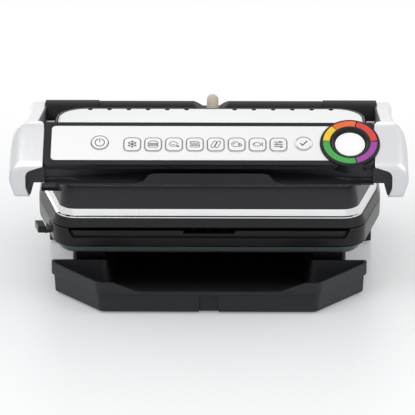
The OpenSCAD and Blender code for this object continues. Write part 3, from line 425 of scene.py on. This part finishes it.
def burger():
    bun = [(-4.6, 0.9)] + arc(0, 0.9, 4.6, 3.1, 180, 0, 16) + [(-4.6, 0.9)]
    base = [(-4.6, -1.5), (4.6, -1.5), (4.2, -3.1), (3.4, -3.5), (-3.4, -3.5), (-4.2, -3.1)]
    wave = [(-4.9 + 9.8 * k / 24, -0.3 + 0.45 * math.sin(k * math.pi / 3)) for k in range(25)]
    return [(bun[:-1], True), (base, True), (wave, False)]


def poultry():
    body = arc(-0.8, 0.3, 3.6, 2.8, 40, 330, 26)
    leg = [(2.0, -1.2), (3.6, -2.2), (4.5, -1.9), (4.3, -2.9), (3.5, -3.1), (2.2, -2.3)]
    wing = arc(-0.9, 0.5, 1.7, 1.2, 160, 340, 10)
    breast = [(2.0, 2.1), (3.2, 1.2), (2.9, -0.4)]
    return [(body + [(2.0, -1.2)], False), (leg, False), (wing, False), (breast, False)]


def sandwich():
    top = [(-4.3, 3.2), (3.0, 3.2), (4.4, 1.4), (-4.4, 1.4)]
    low = [(-4.4, -1.6), (4.4, -1.6), (3.8, -3.3), (-3.8, -3.3)]
    leaf = [(-4.5 + 9.0 * k / 24, -0.1 + 0.6 * math.sin(k * math.pi / 4)) for k in range(25)]
    return [(top, True), (low, True), (leaf, False)]


def sausage():
    strokes = []
    for side in (-1.9, 1.9):
        upper = arc(side + 1.1, 2.4, 1.5, 1.5, -20, 160, 10)
        lower = arc(side - 1.1, -2.4, 1.5, 1.5, 160, 340, 10)
        strokes.append((upper + lower, True))
    return strokes


def meat():
    outline = arc(-1.0, 0.2, 3.6, 2.9, 60, 300, 22) + arc(2.6, -0.8, 2.0, 1.7, 250, 460, 14)
    bone = loop(2.4, -0.4, 0.8, 0.8, 12)
    grain = arc(-1.1, 0.1, 2.0, 1.4, 90, 200, 8)
    return [(outline, True), (bone, True), (grain, False)]


def fish():
    back = arc(-0.7, -1.4, 4.0, 3.6, 155, 25, 14)
    belly = arc(-0.7, 1.4, 4.0, 3.6, 335, 205, 14)
    tail = [(2.9, 0.1), (4.9, 2.0), (4.3, 0), (4.9, -2.0), (2.9, -0.1)]
    return [(back, False), (belly, False), (tail, False), (loop(-2.8, 0.5, 0.35, 0.35, 8), True)]


def sliders():
    strokes = []
    for y, knob in ((2.7, 1.6), (0, -1.6), (-2.7, 2.2)):
        strokes.append(([(-4.2, y), (knob - 1.0, y)], False))
        strokes.append(([(knob + 1.0, y), (4.2, y)], False))
        strokes.append((loop(knob, y, 1.0, 1.0, 12), True))
    return strokes


def switch_on():
    return [(arc(0, 0, 4.3, 4.3, 108, 432, 30), False), ([(0, 0.2), (0, 4.9)], False)]


def tick_mark():
    return [([(-3.2, 0.2), (-1.0, -2.2), (3.4, 2.8)], False)]


KEY_MARKS = {"key_frozen": snowflake, "key_burger": burger, "key_poultry": poultry, "key_sandwich": sandwich,
             "key_sausage": sausage, "key_meat": meat, "key_fish": fish, "key_manual": sliders,
             "key_power": switch_on, "key_confirm": tick_mark}
# Marks that are printed bolder than the rest, with their line in mm
BOLD_MARKS = {"key_power": 0.8, "key_confirm": 1.1, "key_manual": 0.75, "key_frozen": 0.7}


def key_centre(node):
    """The middle of a key on the panel, in mm."""
    low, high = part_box(node)
    middle = (low + high) / 2 / MM
    run = middle.y - TOP_Y
    rise = middle.z - TOP_Z
    return middle.x, run * math.cos(SLOPE) + rise * math.sin(SLOPE)


# ---------- what a user would change ----------

class GrillColours(bpy.types.PropertyGroup):
    """Colours of the grill's finishes."""
    plastic: FloatVectorProperty(name="Black plastic", description="Moulded black of base and console",
                                 subtype="COLOR", default=linear("#141416")[:3], min=0, max=1)
    shell: FloatVectorProperty(name="Lid shell", description="Dark grey plastic between cover and skirt",
                               subtype="COLOR", default=linear("#343438")[:3], min=0, max=1)
    pan: FloatVectorProperty(name="Belly pan", description="Dark teal grey of the band under the base",
                             subtype="COLOR", default=linear("#6A7674")[:3], min=0, max=1)
    silver: FloatVectorProperty(name="Silver paint", description="Paint of the arms",
                                subtype="COLOR", default=linear("#DEDEE1")[:3], min=0, max=1)
    fascia: FloatVectorProperty(name="Fascia", description="Pale silver of the control panel",
                                subtype="COLOR", default=linear("#E8E8E9")[:3], min=0, max=1)
    ink: FloatVectorProperty(name="Printing ink", description="Colour of the printed marks",
                             subtype="COLOR", default=linear("#202024")[:3], min=0, max=1)


class GrillSizes(bpy.types.PropertyGroup):
    """Sizes of the finishing details."""
    edge: FloatProperty(name="Edge radius", description="Rounding of moulded edges, in mm",
                        default=0.6, min=0.1, max=2.0)
    line: FloatProperty(name="Printed line", description="Width of the printed outlines, in mm",
                        default=0.66, min=0.2, max=1.2)
    mark: FloatProperty(name="Mark line", description="Width of the lines in the key marks, in mm",
                        default=0.62, min=0.2, max=1.2)
    braid_strand: FloatProperty(name="Braid strand", description="Width of a strand of the sleeve, in mm",
                                default=1.5, min=0.5, max=3)
    floor_half: FloatProperty(name="Floor", description="Half the width of the floor",
                              default=6.0, min=1, max=20, unit="LENGTH")


def colours():
    return bpy.context.scene.grill_colours


def sizes():
    return bpy.context.scene.grill_sizes


# ---------- geometry nodes ----------

def apply_nodes(obj, tree, values):
    """Runs a geometry node tree on an object with named input values and keeps the plain mesh."""
    modifier = obj.modifiers.new("Pattern", "NODES")
    modifier.node_group = tree
    for item in tree.interface.items_tree:
        if item.item_type == "SOCKET" and item.in_out == "INPUT" and item.name in values:
            modifier[item.identifier] = values[item.name]
    evaluated = obj.evaluated_get(bpy.context.evaluated_depsgraph_get())
    mesh = bpy.data.meshes.new_from_object(evaluated)
    obj.modifiers.remove(modifier)
    obj.data = mesh


def pattern_tree(name, numbers):
    """A tree with geometry, numbers by name and a material going in, and the outputs of its input node."""
    tree = bpy.data.node_groups.new(name, "GeometryNodeTree")
    tree.interface.new_socket("Geometry", in_out="INPUT", socket_type="NodeSocketGeometry")
    for label, value in numbers.items():
        tree.interface.new_socket(label, in_out="INPUT", socket_type="NodeSocketFloat").default_value = value
    tree.interface.new_socket("Material", in_out="INPUT", socket_type="NodeSocketMaterial")
    tree.interface.new_socket("Geometry", in_out="OUTPUT", socket_type="NodeSocketGeometry")
    return tree, add(tree, "NodeGroupInput").outputs


def close_tree(tree, geometry, material):
    real = add(tree, "GeometryNodeRealizeInstances", {"Geometry": geometry}).outputs[0]
    painted = add(tree, "GeometryNodeSetMaterial", {"Geometry": real, "Material": material}).outputs[0]
    add(tree, "NodeGroupOutput", {"Geometry": painted})


def screw_tree():
    """A pan-head screw with a cross recess on every vertex of the mesh."""
    tree, given = pattern_tree("Screws", {"Head radius": 0.0032, "Head height": 0.0014, "Slot width": 0.0008})
    head = add(tree, "GeometryNodeMeshCylinder", {"Vertices": 24, "Radius": given["Head radius"],
                                                  "Depth": given["Head height"]}).outputs["Mesh"]
    length = add(tree, "ShaderNodeMath", {0: given["Head radius"], 1: 1.3}, operation="MULTIPLY").outputs[0]
    slots = []
    for x, y in ((length, given["Slot width"]), (given["Slot width"], length)):
        size = add(tree, "ShaderNodeCombineXYZ", {"X": x, "Y": y, "Z": given["Head height"]}).outputs[0]
        slots.append(add(tree, "GeometryNodeMeshCube", {"Size": size}).outputs["Mesh"])
    cross = add(tree, "GeometryNodeMeshBoolean", {"Mesh": slots[0]}, operation="UNION")
    tree.links.new(slots[1], cross.inputs["Mesh"])
    # a negative place, because the recess is cut from the face that looks down
    lowered = add(tree, "GeometryNodeTransform", {"Geometry": cross.outputs["Mesh"],
                                                  "Translation": (0, 0, -0.8 * MM)}).outputs[0]
    cut = add(tree, "GeometryNodeMeshBoolean", {"Mesh 1": head}, operation="DIFFERENCE")
    tree.links.new(lowered, cut.inputs["Mesh 2"])
    placed = add(tree, "GeometryNodeInstanceOnPoints", {"Points": given["Geometry"],
                                                        "Instance": cut.outputs["Mesh"]}).outputs[0]
    close_tree(tree, placed, given["Material"])
    return tree


# ---------- operators ----------

FINISHES = {}


def finish(name, make, *values, **settings):
    """A material, made once."""
    if name not in FINISHES:
        FINISHES[name] = make(name, *values, **settings)
    return FINISHES[name]


def black_abs():
    return finish("Black ABS", moulded_abs, colours().plastic, "#19191C", 0.3)


def hinge_abs():
    return finish("Matt black ABS", moulded_abs, colours().plastic, "#18181A", 0.5, shine=0.14)


def console_abs():
    return finish("Console ABS", moulded_abs, colours().plastic, "#1A1A1D", 0.33, depth_mm=0.03)


def shell_abs():
    return finish("Dark grey ABS", moulded_abs, colours().shell, "#38383D", 0.38)


def membrane():
    return finish("Silver membrane", metallic_paint, colours().fascia, "#DFDFE0", 0.42)


def ink():
    return finish("Printing ink", screen_ink, colours().ink)


def drawn_steel():
    return finish("Drawn steel", brushed_steel, "#9A9A9A", "#77797A", 0.35)


class GRILL_OT_stage(bpy.types.Operator):
    """Make the pale floor, the soft lamps, the background and the camera"""
    bl_idname = "grill.stage"
    bl_label = "Stage"
    floor_z = -0.0004                                      # just under the feet, so that no faces share a plane
    shadow_radius = 0.62                                   # the floor has turned white at this distance, m
    aim = Vector((0, 0, 0.08))                             # what the lamps point at
    # name, place, energy, width and height of each soft lamp
    softboxes = (("Key softbox", (-0.5, -0.7, 1.25), 7.5, 0.9, 0.9),
                 ("Fill softbox", (0.9, -0.5, 0.8), 3.5, 0.9, 0.9),
                 ("Rear softbox", (0.1, 0.9, 1.0), 2.5, 0.8, 0.8),
                 ("Left strip", (-0.8, 1.3, 0.65), 2.5, 0.3, 0.9),
                 ("Low strip", (0.0, -1.3, 0.15), 0.7, 1.6, 0.28))
    # the camera that was fitted to the photograph
    lens, distance = 268.9, 3.0
    elevation, yaw = math.radians(16), math.radians(0.45)
    target = Vector((-0.00232, 0, 0.05288))

    def execute(self, context):
        scene = context.scene
        scene.view_settings.view_transform = "Standard"
        self.floor()
        self.world(scene)
        self.lamps()
        self.camera(scene)
        return {"FINISHED"}

    def floor(self):
        half = sizes().floor_half

        def build(bm):
            bm.faces.new([bm.verts.new((x, y, self.floor_z))
                          for x, y in ((-half, -half), (half, -half), (half, half), (-half, half))])
        floor = mesh_from("floor", build)
        material, tree, shader = blank_material("White laminate", "#D8DCDE", 0.28, IOR=1.45)
        # white to the camera, metal and glass away from the grill, so that only its shadow shows on the floor
        at = add(tree, "ShaderNodeMapping", {"Vector": add(tree, "ShaderNodeTexCoord").outputs["Object"],
                                             "Scale": [1 / self.shadow_radius] * 3}).outputs["Vector"]
        near = add(tree, "ShaderNodeTexGradient", {"Vector": at}, gradient_type="SPHERICAL").outputs["Fac"]
        share = add(tree, "ShaderNodeMapRange", {"Value": near, "To Min": 1.0, "To Max": 0.0}).outputs["Result"]
        factor = add(tree, "ShaderNodeMath", {0: share, 1: background_rays(tree)},
                     operation="MULTIPLY").outputs[0]
        white = add(tree, "ShaderNodeEmission", {"Color": (1, 1, 1, 1), "Strength": 1.0}).outputs[0]
        out = next(n for n in tree.nodes if n.type == "OUTPUT_MATERIAL")
        add(tree, "ShaderNodeMixShader", {0: factor, 1: shader.outputs[0], 2: white},
            {0: out.inputs["Surface"]})
        floor.data.materials.append(material)

    def world(self, scene):
        """White to the camera, metal and glass. As light it is bright behind and overhead, and dim in front."""
        world = bpy.data.worlds.new("Studio")
        scene.world = world
        world.use_nodes = True
        tree = world.node_tree
        tree.nodes.clear()
        way = add(tree, "ShaderNodeTexCoord").outputs["Generated"]
        parts = add(tree, "ShaderNodeSeparateXYZ", {"Vector": way}).outputs
        behind = add(tree, "ShaderNodeMapRange", {"Value": parts["Y"], "From Min": -0.8, "From Max": 0.2,
                                                  "To Min": 0.20, "To Max": 0.85}).outputs["Result"]
        above = add(tree, "ShaderNodeMapRange", {"Value": parts["Z"], "From Min": 0.45, "From Max": 0.95,
                                                 "To Min": 0.0, "To Max": 0.95}).outputs["Result"]
        light = add(tree, "ShaderNodeMath", {0: behind, 1: above}, operation="MAXIMUM").outputs[0]
        strength = add(tree, "ShaderNodeMath", {0: light, 1: background_rays(tree)},
                       operation="MAXIMUM").outputs[0]
        sky = add(tree, "ShaderNodeBackground", {"Color": (1, 1, 1, 1), "Strength": strength}).outputs[0]
        add(tree, "ShaderNodeOutputWorld", {"Surface": sky})

    def lamps(self):
        for name, place, energy, width, height in self.softboxes:
            lamp = bpy.data.lights.new(name, "AREA")
            lamp.energy = energy
            lamp.shape = "RECTANGLE"
            lamp.size = width
            lamp.size_y = height
            obj = new_object(name, lamp)
            obj.location = place
            obj.rotation_euler = (self.aim - Vector(place)).to_track_quat("-Z", "Y").to_euler()

    def camera(self, scene):
        data = bpy.data.cameras.new("Camera")
        data.lens = self.lens
        data.clip_end = 50
        camera = new_object("Camera", data)
        level = math.cos(self.elevation)
        back = Vector((math.sin(self.yaw) * level, -math.cos(self.yaw) * level, math.sin(self.elevation)))
        camera.location = self.target + back * self.distance
        camera.rotation_euler = (-back).to_track_quat("-Z", "Y").to_euler()
        scene.camera = camera


class GRILL_OT_base(bpy.types.Operator):
    """Finish the outer wall, the belly pan, the lower housing, the cover and the feet"""
    bl_idname = "grill.base"
    bl_label = "Base"
    screw_count = 4
    screw_inset = 1.8 * MM                                 # from the row's end to its first screw's middle
    screw_rise = 0.7 * MM                                  # half a head, which is made about its middle

    def execute(self, context):
        edge = sizes().edge
        refined("base_shell", black_abs(), edge)
        refined("belly_pan", finish("Satin grey ABS", moulded_abs, colours().pan, "#737D7C", 0.34), edge)
        refined("lower_housing", black_abs(), edge * 1.5)
        refined("bottom_cover", black_abs(), edge)
        refined("rear_housing", hinge_abs(), edge)
        refined("lower_release", black_abs(), edge)
        for node in ("rubber_feet", "cord_grommet"):
            refined(node, finish("Black rubber", soft_rubber, "#1B1B1C", 0.7), edge)
        self.screws()
        return {"FINISHED"}

    def screws(self):
        low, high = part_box("base_screws")
        y = (low.y + high.y) / 2

        def build(bm):
            for k in range(self.screw_count):
                along = (high.x - low.x - 2 * self.screw_inset) * k / (self.screw_count - 1)
                bm.verts.new((low.x + self.screw_inset + along, y, 0))
        heads = mesh_from("cover_screw_heads", build)
        apply_nodes(heads, screw_tree(), {"Material": drawn_steel()})
        heads.data.transform(Matrix.Translation((0, 0, low.z + self.screw_rise)))
        finish_piece(heads, None, "base")
        coat("base_screws", drawn_steel())


class GRILL_OT_plates(bpy.types.Operator):
    """Finish the two plates and what heats them"""
    bl_idname = "grill.plates"
    bl_label = "Plates and heating"

    def execute(self, context):
        coating = finish("Non-stick coating", non_stick, "#19191A", "#2E2E30", 0.38)
        for node in ("lower_plate", "upper_plate"):
            refined(node, coating, 0.8)
        for node in ("lower_heater", "upper_heater", "lower_sensor", "upper_sensor"):
            refined(node, drawn_steel(), 0.3)
        for node in ("lower_reflector", "upper_reflector"):
            refined(node, finish("Bright sheet", polished_steel, "#B8B9B9", 0.25), 0.2)
        for node in ("power_board", "control_board"):
            refined(node, finish("Glass epoxy", glass_epoxy, "#12402A", "#1E5A3A"), 0.2)
        for node in ("hinge_pins", "lid_pivot_pins"):
            refined(node, drawn_steel(), 0.5)
        refined("hinge_bushes", finish("Turned brass", brushed_steel, "#B89255", "#8E6D38", 0.3), 0.3)
        refined("key_mat", finish("Grey rubber", soft_rubber, "#6A6A6C", 0.6), 0.4)
        return {"FINISHED"}


class GRILL_OT_lid(bpy.types.Operator):
    """Finish the cover, the shell, the skirt and the frame of the lid"""
    bl_idname = "grill.lid"
    bl_label = "Lid"

    def execute(self, context):
        edge = sizes().edge
        refined("lid_cover", finish("Brushed stainless", brushed_steel, "#D2D3D3", "#BABCBC", 0.30), 0.4)
        refined("lid_shell", shell_abs(), edge)
        refined("lid_skirt", finish("Polished stainless", polished_steel, "#D8D9DA", 0.09), 0.3)
        refined("lid_frame", black_abs(), edge)
        refined("upper_release", hinge_abs(), 0.3)
        for node in ("sleeve_gland_base", "sleeve_gland_lid"):
            refined(node, black_abs(), 0.4)
        return {"FINISHED"}


class GRILL_OT_arms(bpy.types.Operator):
    """Finish the silver arms and the black knuckles of the hinge"""
    bl_idname = "grill.arms"
    bl_label = "Arms"

    def execute(self, context):
        paint = finish("Silver paint", metallic_paint, colours().silver, "#C6C7CA", 0.34, 0.6)
        for side in ("left", "right"):
            refined("arm_" + side, paint, 0.8, angle=40)
            refined("knuckle_" + side, hinge_abs(), sizes().edge)
        return {"FINISHED"}


class GRILL_OT_console(bpy.types.Operator):
    """Finish the console's housing, lip and panel frame"""
    bl_idname = "grill.console"
    bl_label = "Console"

    def execute(self, context):
        edge = sizes().edge
        refined("console_housing", finish("Grip ABS", moulded_abs, "#2E2E34", "#333339", 0.33), edge)
        refined("console_lip", finish("Lip ABS", moulded_abs, "#1D1D21", "#212125", 0.4), 0.5)
        refined("panel_frame", console_abs(), 0.5)
        return {"FINISHED"}


class GRILL_OT_fascia(bpy.types.Operator):
    """Finish the fascia"""
    bl_idname = "grill.fascia"
    bl_label = "Fascia"

    def execute(self, context):
        refined("fascia", membrane(), 0.15)
        return {"FINISHED"}


class GRILL_OT_keys(bpy.types.Operator):
    """Finish the keys and print their outlines and marks"""
    bl_idname = "grill.keys"
    bl_label = "Keys"
    rise = 0.5                                             # of a key above the fascia, mm

    def execute(self, context):
        for node, strokes in KEY_MARKS.items():
            refined(node, membrane(), 0.25)
            self.print_marks(node, strokes())
        return {"FINISHED"}

    def print_marks(self, node, strokes):
        x, y = key_centre(node)
        if node == "key_power":
            outline = [(loop(0, 0, 7.8, 7.8, 44), True)]
        elif node == "key_confirm":
            outline = [(arc(0, 0, 7.4, 7.4, 25, 155, 24), False), (arc(0, 0, 7.4, 7.4, 205, 335, 24), False)]
        else:
            outline = [(squircle(7.5, 4.0), True)]

        def build(bm):
            for lines, width in ((outline, sizes().line), (strokes, BOLD_MARKS.get(node, sizes().mark))):
                for points, closed in lines:
                    ribbon(bm, points, width, self.rise - INK_FOOT, self.rise + INK_FILM,
                           lambda u, v, h: on_panel(x + u, y + v, h), closed)
        marks = mesh_from(node.replace("key_", "mark_"), build)
        finish_piece(marks, ink(), BODY_OF[node])


class GRILL_OT_indicator(bpy.types.Operator):
    """Finish the indicator's boss, its coloured windows and its lens"""
    bl_idname = "grill.indicator"
    bl_label = "Indicator"

    def execute(self, context):
        refined("indicator_bezel", console_abs(), 0.6)
        for name, colour, deep in (("yellow", "#EFC716", "#E2B70E"), ("orange", "#EA6A26", "#DF5A1C"),
                                   ("red", "#DA382C", "#CC2E24"), ("purple", "#9E3C9F", "#8F3290"),
                                   ("green", "#38A846", "#2E9A3C")):
            refined("window_" + name, finish("Acrylic " + name, dyed_acrylic, colour, deep), 0.3)
        refined("indicator_lens", finish("Opal acrylic", dyed_acrylic, "#FAFAFA", "#F3F3F3", 0.3), 0.4)
        return {"FINISHED"}


class GRILL_OT_sleeve(bpy.types.Operator):
    """Make the braided sleeve that carries the wires from the base to the lid"""
    bl_idname = "grill.sleeve"
    bl_label = "Wiring sleeve"
    sides = 28
    behind_hinge = 7 * MM                                  # where it leaves its gland on the base
    clearance = 0.25 * MM                                  # between the braid and the CAD tube
    swell_share, swell_step = 0.012, 2.4                   # height and pace of the braid's small swellings
    lid_rest = 9.6                                         # height of the sleeve over the hinge at the lid, mm

    def execute(self, context):
        low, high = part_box("wiring_sleeve")
        radius = (high.x - low.x) / 2
        x = (low.x + high.x) / 2
        axis = JOINTS["handle_hinge"]["pos_m"]
        start, height = axis[1] + self.behind_hinge, axis[2]
        rest = self.lid_rest
        route = [(0, 3), (0, 9.5), (-0.5, 13.5), (-3, 18.5), (-8, 21.6), (-15, 22.6), (-22, 21.6),
                 (-27.5, 18.6), (-31.3, 14.6), (-34.6, 11.4), (-38, rest + 0.2), (-41, rest), (-47, rest)]
        path = smooth_path([Vector((x, start + dy * MM, height + dz * MM)) for dy, dz in route], 6)
        sleeve = self.tube(path, radius - self.clearance)
        # 8F806B is the painted shade in the gaps between the braid's strands
        material = finish("Glass-fibre braid", glass_fibre_braid, "#C9BBA6", "#8F806B", sizes().braid_strand)
        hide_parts("wiring_sleeve")
        sleeve.data.materials.append(material)
        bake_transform(sleeve)
        return {"FINISHED"}

    def tube(self, path, radius):
        """A tube with a map of mm round and along it."""
        bm = bmesh.new()
        layer = bm.loops.layers.uv.new("braid")
        rings, run, total = [], [0.0], 2 * math.pi * radius / MM
        for i, p in enumerate(path):
            ahead = (path[min(i + 1, len(path) - 1)] - path[max(i - 1, 0)]).normalized()
            side = Vector((1, 0, 0))
            up = side.cross(ahead)
            # the braid swells a little between its crossings
            swell = radius * (1 + self.swell_share * math.sin(i * self.swell_step))
            rings.append([bm.verts.new(p + swell * (side * math.cos(2 * math.pi * k / self.sides)
                                                    + up * math.sin(2 * math.pi * k / self.sides)))
                          for k in range(self.sides)])
            if i:
                run.append(run[-1] + (p - path[i - 1]).length / MM)
        for i in range(len(path) - 1):
            for k in range(self.sides):
                face = bm.faces.new((rings[i][k], rings[i][(k + 1) % self.sides],
                                     rings[i + 1][(k + 1) % self.sides], rings[i + 1][k]))
                spots = ((k, i), (k + 1, i), (k + 1, i + 1), (k, i + 1))
                for corner, (a, b) in zip(face.loops, spots):
                    corner[layer].uv = (total * a / self.sides, run[b])
        bm.faces.new(rings[0][::-1])
        bm.faces.new(rings[-1])
        bmesh.ops.recalc_face_normals(bm, faces=bm.faces)
        mesh = bpy.data.meshes.new("wiring_sleeve_braid")
        bm.to_mesh(mesh)
        bm.free()
        mesh.shade_smooth()
        return new_object("wiring_sleeve_braid", mesh)


class GRILL_OT_tray(bpy.types.Operator):
    """Finish the drip tray"""
    bl_idname = "grill.tray"
    bl_label = "Drip tray"

    def execute(self, context):
        refined("drip_tray", finish("Tray ABS", moulded_abs, "#222327", "#28292D", 0.36), 0.35)
        return {"FINISHED"}


class GRILL_PT_panel(bpy.types.Panel):
    """The grill's pieces and finishes."""
    bl_label = "Contact grill"
    bl_idname = "GRILL_PT_panel"
    bl_space_type = "VIEW_3D"
    bl_region_type = "UI"
    bl_category = "Grill"

    def draw(self, context):
        for group in (context.scene.grill_colours, context.scene.grill_sizes):
            column = self.layout.column()
            for name in group.__annotations__:
                column.prop(group, name)
        for operator in OPERATORS:
            self.layout.operator(operator.bl_idname)


OPERATORS = (GRILL_OT_stage, GRILL_OT_base, GRILL_OT_plates, GRILL_OT_lid, GRILL_OT_arms, GRILL_OT_console,
             GRILL_OT_fascia, GRILL_OT_keys, GRILL_OT_indicator, GRILL_OT_sleeve, GRILL_OT_tray)
CLASSES = (GrillColours, GrillSizes, *OPERATORS, GRILL_PT_panel)


def register():
    for cls in CLASSES:
        bpy.utils.register_class(cls)
    bpy.types.Scene.grill_colours = PointerProperty(type=GrillColours)
    bpy.types.Scene.grill_sizes = PointerProperty(type=GrillSizes)


def unregister():
    del bpy.types.Scene.grill_colours
    del bpy.types.Scene.grill_sizes
    for cls in reversed(CLASSES):
        bpy.utils.unregister_class(cls)


def main():
    register()
    for operator in OPERATORS:
        group, name = operator.bl_idname.split(".")
        getattr(getattr(bpy.ops, group), name)()


if __name__ == "__main__":
    main()
